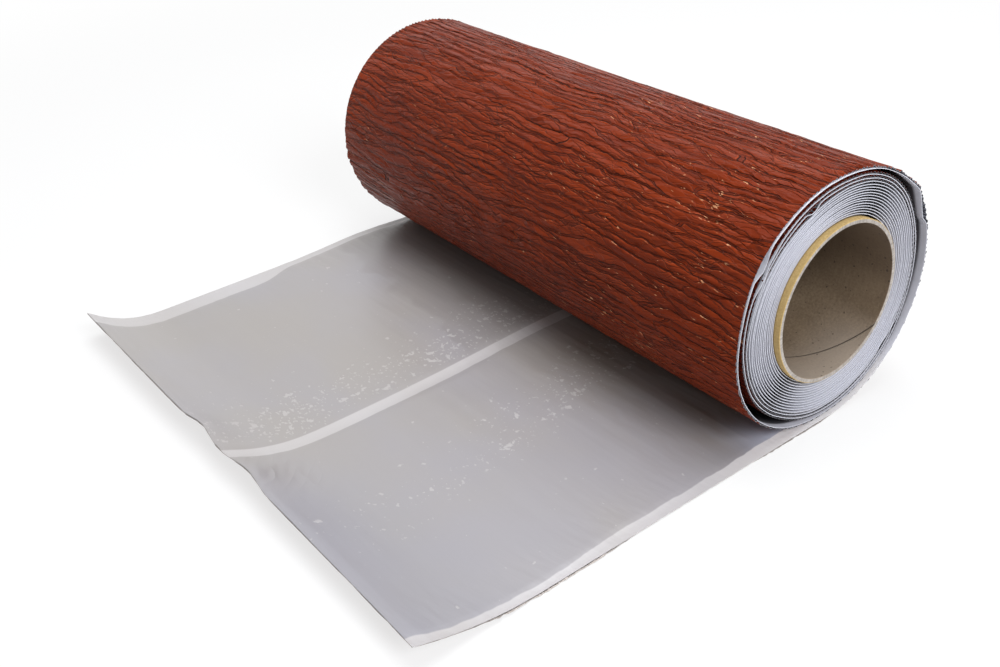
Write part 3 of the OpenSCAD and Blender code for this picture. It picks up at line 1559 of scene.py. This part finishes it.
@dataclass
class StripLayers:
    """What all layers of the strip share.

    Attributes:
        winding: The line that the strip follows.
        rolling: Rolls the layers up.
        sheet_t: Thickness of the metal with its adhesive.
        overlap: Angle after the tight turns' start where the outer stretch ends.
        step_back: How far the outer turn steps back at its kink, in mm.
        cone: How much further back the innermost turn lies, in mm.
    """

    winding: Winding
    rolling: Rolling
    sheet_t: float = 1.05 * MM
    overlap: float = 50.0
    step_back: float = 1.9
    cone: float = 0.9

    def join_at(self) -> float:
        """Gives the length from the cut end where the outer stretch ends, in metres."""
        return self.winding.length_at(self.winding.join_angle + self.overlap)

    def turn_marks(self, *turns: float) -> list[float]:
        """Gives the length from the cut end to each number of tight turns, in mm."""
        return self.winding.marks(*(self.winding.join_angle + 360 * turn for turn in turns))

    def slide(self, along: Wire) -> Wire:
        """Lets the turns stand back from the near end.

        Args:
            along: Length along the strip, in mm.

        Returns:
            How far they stand back, in mm.
        """
        crease, top, join = self.winding.marks(self.winding.crease_angle, 84, self.winding.join_angle)
        inner = ((along - join) / (self.winding.length / MM - join)).at_least(0.0)
        return along.ramp(crease, top) * self.step_back + inner * self.cone

    def lifted(self, along: Wire, across: Wire, lifts: Sequence[Lift]) -> Wire:
        """Adds up how far the free edge stands off inwards.

        Args:
            along: Length along the strip, in mm.
            across: Place across the strip, in mm.
            lifts: The places where it does.

        Returns:
            The distance, in mm.
        """
        total = 0.0
        for lift in lifts:
            risen = lift.start + lift.rise
            held = risen + lift.hold
            first, second, third, last = self.winding.marks(lift.start, risen, held, held + lift.fall)
            shape = along.ramp(first, second) * along.ramp(last, third)
            near = across.ramp(lift.reach - HALF_WIDTH, -HALF_WIDTH)
            total = total + shape * near * lift.height
        return total

    @staticmethod
    def cut_end(spot: Spot) -> tuple[Wire, Wire]:
        """Gives how far the cut end is bent up beside the middle, and how far it is cut back.

        Args:
            spot: The point of the flat strip.

        Returns:
            Both, in mm.
        """
        beside = spot.across.hump(17.0, 17.0) + spot.across.hump(-26.0, 20.0)
        return beside * spot.along.ramp(30.0, 0.0) * 1.7, beside * spot.along.ramp(16.0, 0.0) * 1.1


@dataclass
class CrimpedStrip(StripLayers):
    """The coated metal with its adhesive: the free end, the outer turn and the tight turns.

    Attributes:
        metal_t: Thickness of the metal.
        adhesive_from: How deep the adhesive starts on the outer stretch, clear of the crimp.
        wound_adhesive_t: Thickness of the adhesive on the tight turns.
        pattern: The metal's crimp.
        free_columns: How many faces the free end has along its length.
        turn_columns: How many the outer turn has.
        wound_step: Length of a face of the tight turns.
        rows: How many spans of faces lie across the strip.
        crowding: How much closer they lie towards the edges.
    """

    metal_t: float = 0.22 * MM
    adhesive_from: float = 0.5 * MM
    wound_adhesive_t: float = 0.5 * MM
    pattern: CrimpPattern = CrimpPattern()
    free_columns: int = 110
    turn_columns: int = 640
    wound_step: float = 0.62 * MM
    rows: int = 54
    crowding: float = 1.35

    def build(self) -> list[bpy.types.Object]:
        """Builds the outer stretch and the wound turns.

        Returns:
            The two pieces.
        """
        return [self._outer(), self._wound()]

    def _outer_relief(self, bench: NodeBench, spot: Spot) -> Relief:
        """Crimps the outer stretch, flatter where it lies on the floor.

        Args:
            bench: The node tree's helper.
            spot: The point of the flat strip.

        Returns:
            The metal's relief.
        """
        along, across = spot.along, spot.across
        height = self.pattern.relief(bench, along, across)
        edge = self.edge_share(across)
        floor_end, above, below, calm_from = self.winding.marks(-90, 50, 84, 78)
        left, lower, calm_to = self.winding.marks(150, 205, 170)
        off_floor = along.ramp(floor_end + 6, floor_end + 34)
        back = along.ramp(above, below) * along.ramp(lower, left)
        teeth = self.teeth(bench, along) * edge * (0.06 + spot.corner.ramp(0.1, 0.7) * 0.3)
        calm = along.ramp(calm_from, calm_from + 12) * along.ramp(calm_to + 25, calm_to) * edge
        outward = (height * (1 - calm * 0.8) + teeth) * (0.35 + off_floor * 0.65)
        outward = outward.at_least(-0.28).at_most(0.12 + off_floor)
        setback = across * (-0.3 - back * 0.35) / HALF_WIDTH
        lift, cut_back = self.cut_end(spot)
        slide = self.slide(along) + setback - self.peeping(bench, along, across)
        return Relief(inward=0.14 - outward + lift, slide=slide, back=cut_back)

    def _wound_relief(self, bench: NodeBench, spot: Spot) -> Relief:
        """Crimps the ends of the tight turns.

        Args:
            bench: The node tree's helper.
            spot: The point of the flat strip.

        Returns:
            The metal's relief.
        """
        along, across = spot.along, spot.across
        edge = self.edge_share(across)
        deep = along.ramp(*self.turn_marks(2.2, 4.4))
        away = spot.corner.ramp(0.0, 0.9)
        teeth = self.teeth(bench, along) * edge * (0.05 + away * 0.2 + (1 - deep) * 0.1)
        setback = across * (-0.1 - deep * 1.7) / HALF_WIDTH
        ragged = bench.noise(along / 5, 0.0, 83.0, 2.0) * (0.15 + away * 0.6) * edge
        return Relief(inward=-teeth, slide=self.slide(along) + setback + ragged)

    @staticmethod
    def peeping(bench: NodeBench, along: Wire, across: Wire) -> Wire:
        """Lets the rough near edge stand out from under the film on two stretches.

        Args:
            bench: The node tree's helper.
            along: Length along the strip, in mm.
            across: Place across the strip, in mm.

        Returns:
            How far it stands out, in mm.
        """
        rough_edge = bench.noise(along / 2.4, 0.0, 85.0, 2.0).ramp(-0.4, 0.3)
        by_cut = along.ramp(18.0, 44.0) * along.ramp(108.0, 88.0) * 1.5
        by_roll = along.ramp(172.0, 182.0) * along.ramp(224.0, 214.0)
        near = across.ramp(10 - HALF_WIDTH, 1 - HALF_WIDTH)
        return rough_edge * (by_cut + by_roll) * near

    @staticmethod
    def edge_share(across: Wire) -> Wire:
        """Is 1 at both edges of the strip and 0 a few millimetres in."""
        return abs(across).ramp(HALF_WIDTH - 11, HALF_WIDTH - 1)

    @staticmethod
    def teeth(bench: NodeBench, along: Wire) -> Wire:
        """Makes the small teeth that the crimp leaves along a cut edge."""
        waver = bench.noise(along / 7, 0.0, 81.0, 1.0) * 9
        return ((along * (2 * math.pi / 2.3)) + waver).sin()

    def _outer(self) -> bpy.types.Object:
        """Builds the free end and the outer turn, with their adhesive.

        Returns:
            The piece.
        """
        floor_end, join_at = self.winding.length_at(-80), self.join_at()
        rows = spread_rows(self.winding.width, self.rows, self.crowding)
        parts = [
            Sheet("free_metal", 0.0, floor_end, self.free_columns, rows, 0.0, self.metal_t).build(),
            Sheet("turn_metal", floor_end, join_at, self.turn_columns, rows, 0.0, self.metal_t).build(),
        ]
        for part in parts:
            self._paint(part)
            self.rolling.roll(part, self._outer_relief)
        thick = self.sheet_t - self.adhesive_from
        parts += self._adhesive("outer", 4 * MM, join_at, 150, self.adhesive_from, thick)
        return join(parts, "crimped_strip_outer")

    def _wound(self) -> bpy.types.Object:
        """Builds the metal and adhesive of the tight turns.

        Returns:
            The piece.
        """
        half, start, stop = self.winding.width / 2, self.join_at(), self.winding.length
        rows = (-half, -half + 2.5 * MM, half - 2.5 * MM, half)
        columns = round((stop - start) / self.wound_step)
        parts = [Sheet("wound_metal", start, stop, columns, rows, 0.0, self.metal_t).build()]
        self._paint(parts[0])
        self.rolling.roll(parts[0], self._wound_relief)
        parts += self._adhesive("wound", start, stop, 1300, self.metal_t, self.wound_adhesive_t, 2)
        return join(parts, "crimped_strip_wound")

    def _adhesive(
        self,
        name: str,
        start: float,
        stop: float,
        columns: int,
        depth: float,
        thick: float,
        spans: int = 12,
    ) -> list[bpy.types.Object]:
        """Builds the two bands of adhesive between the dry bands.

        Args:
            name: First part of the bands' names.
            start: Length from the cut end where they start.
            stop: Length from the cut end where they stop.
            columns: How many faces they have along their length.
            depth: How deep they lie under the painted face.
            thick: Their thickness.
            spans: How many faces they have across.

        Returns:
            The two bands.
        """
        film = FilmPattern()
        split = (film.split / 2 + 1.0) * MM
        edge = (film.half_width - film.margin - 5) * MM
        middle = film.split_at * MM
        bands = []
        for side, low, high in (
            ("near", -edge, middle - split),
            ("far", edge - 9 * MM, middle + split + 4 * MM),
        ):
            rows = sorted(high + (low - high) * (step / spans) ** 1.6 for step in range(spans + 1))
            band = Sheet(f"{name}_{side}_adhesive", start, stop, columns, rows, depth, thick).build()
            band.data.materials.append(BUTYL.material_once())
            self.rolling.roll(band, self._plain_relief)
            bands.append(band)
        return bands

    def _plain_relief(self, bench: NodeBench, spot: Spot) -> Relief:
        """Leaves a layer smooth and only slides it with its turn."""
        lift, cut_back = self.cut_end(spot)
        return Relief(inward=lift, slide=self.slide(spot.along), back=cut_back)

    def _paint(self, sheet: bpy.types.Object) -> None:
        """Gives a flat metal sheet its coating outside and bare metal elsewhere.

        Args:
            sheet: The flat sheet, whose painted face looks down.
        """
        sheet.data.materials.append(PAINT.material_once())
        sheet.data.materials.append(BARE.material_once())
        for face in sheet.data.polygons:
            face.material_index = 0 if face.normal.z < -0.5 else 1


@dataclass
class ReleaseFilm(StripLayers):
    """The film on the inner face, seen on the free end and at the edges of the turns.

    Attributes:
        film_t: Thickness of the film on the outer stretch.
        wound_depth: How deep the film lies between the tight turns.
        wound_t: Its thickness there.
        wound_step: Length of a face of the tight turns.
        columns: How many faces the outer stretch has along its length.
        rows: How many spans of faces it has across.
        crowding: How much closer they lie towards the edges.
        pattern: Where the film lies on adhesive.
        outer_lifts: Where the film stands off on the outer turn.
        wound_lifts: Where it stands off on the tight turns.
    """

    film_t: float = 0.2 * MM
    wound_depth: float = 0.72 * MM
    wound_t: float = 0.24 * MM
    wound_step: float = 1.15 * MM
    columns: int = 270
    rows: int = 128
    crowding: float = 1.12
    pattern: FilmPattern = FilmPattern()
    outer_lifts: tuple[Lift, ...] = (
        Lift(17.5, 3.0, 2.0, 14.0, 2.0, 16.0),
        Lift(34.0, 6.0, 14.0, 14.0, 0.3, 12.0),
        Lift(135.0, 9.0, 2.0, 5.0, 2.4, 14.0),
    )
    wound_lifts: tuple[Lift, ...] = (
        Lift(502.0, 6.0, 2.0, 9.0, 1.0, 9.0),
        Lift(826.0, 5.0, 1.5, 4.5, 1.75, 11.0),
        Lift(866.0, 8.0, 6.0, 20.0, 0.8, 9.0),
        Lift(1188.0, 5.0, 1.0, 5.0, 0.5, 8.0),
        Lift(490.0, 10.0, 4.0, 16.0, 0.6, 9.0),
        Lift(680.0, 4.0, 1.0, 5.0, 0.9, 9.0),
        Lift(1030.0, 4.0, 1.0, 6.0, 0.8, 9.0),
        Lift(1404.0, 5.0, 1.0, 6.0, 0.7, 9.0),
    )

    def build(self) -> list[bpy.types.Object]:
        """Builds the film of the outer stretch and of the wound turns.

        Returns:
            The two pieces.
        """
        rows = spread_rows(self.winding.width, self.rows, self.crowding)
        start, stop = self.join_at(), self.winding.length
        outer = Sheet("release_film_outer", 0.0, start, self.columns, rows, self.sheet_t, self.film_t)
        half = self.winding.width / 2
        rows = [-half + step * MM for step in (0, 0.7, 1.8, 4, 9)]
        rows += [half - step * MM for step in (9, 4, 1.8, 0.7, 0)]
        columns = round((stop - start) / self.wound_step)
        wound = Sheet("release_film_wound", start, stop, columns, rows, self.wound_depth, self.wound_t)
        return [self._film(outer, self._outer_relief), self._film(wound, self._wound_relief)]

    def _film(self, sheet: Sheet, relief: ReliefMaker) -> bpy.types.Object:
        """Builds a stretch of film, dresses it and rolls it up.

        Args:
            sheet: The flat stretch.
            relief: Makes its relief.

        Returns:
            The piece.
        """
        film = sheet.build()
        film.data.materials.append(FILM.material_once())
        return self.rolling.roll(film, relief)

    def _outer_relief(self, bench: NodeBench, spot: Spot) -> Relief:
        """Lets the film sink on the dry bands and ripple near the roll.

        Args:
            bench: The node tree's helper.
            spot: The point of the flat strip.

        Returns:
            The film's relief.
        """
        along, across = spot.along, spot.across
        wetted = self.pattern.wetted(bench, along, across, 1.2)
        sink = (1 - wetted) * 0.42 + along.ramp(5.0, 0.0) * 0.3
        ripple = bench.noise(along / 7, across / 60, 91.0, 2.0) * 0.34
        billow = bench.noise(along / 45, across / 50, 93.0, 1.0) * 0.5
        edge = abs(across).ramp(HALF_WIDTH - 9, HALF_WIDTH)
        flutter = bench.noise(along / 6, across / 30, 95.0, 2.0) * edge * 0.5
        inward = (ripple + billow + flutter - sink).at_least(-0.45)
        inward = inward - along.ramp(4.5, 0.0) * 0.22
        inward = inward + self.lifted(along, across, self.outer_lifts)
        lift, cut_back = self.cut_end(spot)
        return Relief(inward=inward + lift, slide=self.slide(along), back=cut_back)

    def _wound_relief(self, bench: NodeBench, spot: Spot) -> Relief:
        """Makes the film's free edges wavy, and stands them back on the first turns.

        Args:
            bench: The node tree's helper.
            spot: The point of the flat strip.

        Returns:
            The film's relief.
        """
        along, across = spot.along, spot.across
        edge = abs(across).ramp(HALF_WIDTH - 12, HALF_WIDTH)
        first = along.ramp(*self.turn_marks(3.8, 1.6))
        flutter = bench.noise(along / 14, across / 50, 97.0, 1.0) * edge * (0.14 + first * 0.6)
        ragged = bench.noise(along / 110, 0.0, 99.0, 3.0) * 1.3 * edge
        setback = first * spot.corner.ramp(0.3, -0.4) * -0.1 * edge * across / HALF_WIDTH
        lifted = self.lifted(along, across, self.wound_lifts)
        return Relief(inward=flutter + lifted, slide=self.slide(along) + ragged + setback)


@dataclass
class CoreTube:
    """The cardboard tube that the strip is wound on.

    Attributes:
        axis_z: Height of its axis.
        outer_r: Outer radius.
        inner_r: Bore radius.
        front_y: Its near end.
        back_y: Its far end.
        steps: How many faces it has round its girth.
        rim: Rounding of its rims.
        smooth_below: Angle between two faces up to which they are shaded smooth.
    """

    axis_z: float
    outer_r: float
    inner_r: float
    front_y: float
    back_y: float
    steps: int = 160
    rim: float = 0.35 * MM
    smooth_below: float = 40.0

    def build(self) -> bpy.types.Object:
        """Spins the wall's section round the axis.

        Returns:
            The tube.
        """
        bpy.ops.object.select_all(action="DESELECT")
        bpy.ops.mesh.primitive_plane_add(size=1)
        tube = bpy.context.object
        tube.name = "cardboard_tube"
        wall = self.outer_r - self.inner_r
        middle = (self.front_y + self.back_y) / 2
        bpy.ops.object.mode_set(mode="EDIT")
        bpy.ops.mesh.select_all(action="SELECT")
        bpy.ops.transform.resize(value=(wall, self.back_y - self.front_y, 1))
        bpy.ops.transform.translate(value=(self.inner_r + wall / 2, middle, self.axis_z))
        bpy.ops.mesh.bevel(offset=self.rim, segments=3, affect="VERTICES")
        bpy.ops.mesh.delete(type="ONLY_FACE")
        bpy.ops.mesh.select_all(action="SELECT")
        centre = (0, 0, self.axis_z)
        bpy.ops.mesh.spin(steps=self.steps, angle=2 * math.pi, center=centre, axis=(0, 1, 0))
        bpy.ops.mesh.select_all(action="SELECT")
        bpy.ops.mesh.remove_doubles(threshold=0.00001)
        bpy.ops.mesh.normals_make_consistent(inside=False)
        bpy.ops.object.mode_set(mode="OBJECT")
        only(tube)
        bpy.ops.object.shade_smooth_by_angle(angle=math.radians(self.smooth_below))
        finish = Cardboard("grey_board", self.inner_r, self.outer_r)
        tube.data.materials.append(finish.material())
        return tube


# ---------------------------------------------------------------------------
# Studio
# ---------------------------------------------------------------------------


@dataclass(frozen=True)
class SoftLamp:
    """A square lamp that faces the roll.

    Attributes:
        name: Its name.
        place: Where it hangs.
        size: Side of its face.
        watts: Its power.
        colour: Its colour.
    """

    name: str
    place: tuple[float, float, float]
    size: float
    watts: float
    colour: tuple[float, float, float] = (1.0, 1.0, 1.0)

    def hang(self, target: Vector) -> None:
        """Adds the lamp to the scene.

        Args:
            target: What it faces.
        """
        lamp = bpy.data.lights.new(self.name, "AREA")
        lamp.energy = self.watts
        lamp.color = self.colour
        lamp.size = self.size
        holder = bpy.data.objects.new(self.name, lamp)
        holder.location = self.place
        aim = target - Vector(self.place)
        holder.rotation_euler = aim.to_track_quat("-Z", "Y").to_euler()
        bpy.context.scene.collection.objects.link(holder)


@dataclass
class Studio:
    """Floor, soft lamps, world and camera.

    Attributes:
        eye: The camera's place.
        azimuth: Its angle round the upright axis.
        elevation: Its angle over the floor.
        roll: Its turn about its own line of sight.
        lens: Its focal length, in mm.
        floor_size: Side of the floor.
        floor_tone: How light the floor is.
        floor_white: How much of the floor's colour near the roll is plain white, without shadow.
        fill: Strength of the light from all round.
        lamps: The soft lamps.
        lit: What the lamps face.
    """

    eye: tuple[float, float, float] = (-0.3432, -0.3941, 0.3035)
    azimuth: float = -35.095
    elevation: float = 31.890
    roll: float = -4.367
    lens: float = 40.71
    floor_size: float = 14.0
    floor_tone: float = 0.88
    floor_white: float = 0.72
    fill: float = 0.31
    lamps: tuple[SoftLamp, ...] = (
        SoftLamp("key_lamp", (0.12, 0.1, 1.3), 0.9, 11.5),
        SoftLamp("window_lamp", (0.95, 1.35, 0.95), 1.6, 1.8),
        SoftLamp("front_lamp", (-0.1, -1.4, 1.05), 0.8, 24.0, (0.93, 0.96, 1.0)),
    )
    lit: tuple[float, float, float] = (0.0, 0.0, 0.05)

    def build(self) -> None:
        """Sets the stage, the light and the camera."""
        self._floor()
        self._world()
        for lamp in self.lamps:
            lamp.hang(Vector(self.lit))
        self._camera()
        bpy.context.scene.view_settings.view_transform = "Standard"

    def _floor(self) -> None:
        """Lays the pale floor."""
        bpy.ops.object.select_all(action="DESELECT")
        bpy.ops.mesh.primitive_plane_add(size=self.floor_size, location=(0, 0, -0.2 * MM))
        floor = bpy.context.object
        floor.name = "studio_floor"
        material = bpy.data.materials.new("pale_floor")
        material.use_nodes = True
        material.node_tree.nodes.clear()
        bench = NodeBench(material.node_tree)
        shader = bench.add("ShaderNodeBsdfDiffuse", None, {"Color": (*[self.floor_tone] * 3, 1)})
        white = bench.add("ShaderNodeEmission", None, {"Color": (1, 1, 1, 1), "Strength": 1.0})
        aside, ahead, _ = bench.parts(bench.wire(bench.add("ShaderNodeTexCoord"), "Object"))
        far_off = bench.math("SQRT", aside * aside + ahead * ahead).ramp(0.4, 0.9)
        seen = self.shown_white(bench) * (self.floor_white + far_off * (1 - self.floor_white))
        parts = {0: seen, 1: bench.wire(shader), 2: bench.wire(white)}
        mixed = bench.add("ShaderNodeMixShader", None, parts)
        bench.add("ShaderNodeOutputMaterial", None, {"Surface": bench.wire(mixed)})
        floor.data.materials.append(material)

    @staticmethod
    def shown_white(bench: NodeBench) -> Wire:
        """Tells what the camera sees, also by way of gloss or glass.

        Args:
            bench: The node tree's helper.

        Returns:
            1 for what it sees and 0 for the light on the object.
        """
        path = bench.add("ShaderNodeLightPath")
        rays = [bench.wire(path, f"Is {kind} Ray") for kind in ("Camera", "Glossy", "Transmission")]
        return rays[0].at_least(rays[1]).at_least(rays[2])

    def _world(self) -> None:
        """Lights the stage evenly and shows white behind it."""
        world = bpy.data.worlds.new("studio_world")
        world.use_nodes = True
        world.node_tree.nodes.clear()
        bench = NodeBench(world.node_tree)
        fill = bench.add("ShaderNodeBackground", None, {"Color": (1, 1, 1, 1), "Strength": self.fill})
        shown = bench.add("ShaderNodeBackground", None, {"Color": (1, 1, 1, 1), "Strength": 1.0})
        parts = {0: self.shown_white(bench), 1: bench.wire(fill), 2: bench.wire(shown)}
        mixed = bench.add("ShaderNodeMixShader", None, parts)
        bench.add("ShaderNodeOutputWorld", None, {"Surface": bench.wire(mixed)})
        bpy.context.scene.world = world

    def _camera(self) -> None:
        """Sets the camera up at its viewing angle."""
        azimuth, elevation, roll = (math.radians(a) for a in (self.azimuth, self.elevation, self.roll))
        flat = math.cos(elevation)
        back = Vector((math.sin(azimuth) * flat, -math.cos(azimuth) * flat, math.sin(elevation)))
        level = (-back).cross(Vector((0, 0, 1))).normalized()
        upright = level.cross(-back)
        right = level * math.cos(roll) + upright * math.sin(roll)
        up = upright * math.cos(roll) - level * math.sin(roll)
        camera = bpy.data.cameras.new("camera")
        camera.lens = self.lens
        camera.sensor_width = 36
        holder = bpy.data.objects.new("camera", camera)
        turn = Matrix((right, up, back)).transposed().to_4x4()
        holder.matrix_world = Matrix.Translation(Vector(self.eye)) @ turn
        bpy.context.scene.collection.objects.link(holder)
        bpy.context.scene.camera = holder


# ---------------------------------------------------------------------------
# Putting it together
# ---------------------------------------------------------------------------


def stand_in(pieces: Sequence[bpy.types.Object], node: str) -> None:
    """Puts pieces in the place of a CAD node.

    Args:
        pieces: The pieces that stand for the node.
        node: Name of the CAD node.
    """
    for piece in pieces:
        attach(piece, "root")
        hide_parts(node)
        triangles = sum(len(face.vertices) - 2 for face in piece.data.polygons)
        LOG.info("%s stands for %s with %d triangles", piece.name, node, triangles)


def main() -> None:
    """Builds the roll, the stage and the camera."""
    logging.basicConfig(level=logging.INFO, format="%(name)s: %(message)s")
    tube_low, tube_high = TUBE_BOX
    strip_low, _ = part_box("flashing_strip")
    outer_r = (tube_high.x - tube_low.x) / 2
    bore = next(m for m in frame["record"]["mounts"] if m["kind"] == "bore")
    Studio().build()
    tube = CoreTube(AXIS_Z, outer_r, bore["dims"]["r_mm"] * MM, tube_low.y, tube_high.y).build()
    stand_in([tube], "core_tube")
    shapes = {RollEnd.NEAR: NEAR_SHAPE, RollEnd.FAR: FAR_SHAPE}
    winding = Winding(AXIS_Z - strip_low.z, outer_r, tube_high.y - tube_low.y, shapes)
    winding.build_guides()
    LOG.info("strip length %.3f m", winding.length)
    rolling = Rolling(winding)
    stand_in(CrimpedStrip(winding, rolling).build(), "flashing_strip")
    stand_in(ReleaseFilm(winding, rolling).build(), "release_film")
    winding.remove_guides()


if __name__ == "__main__":
    main()
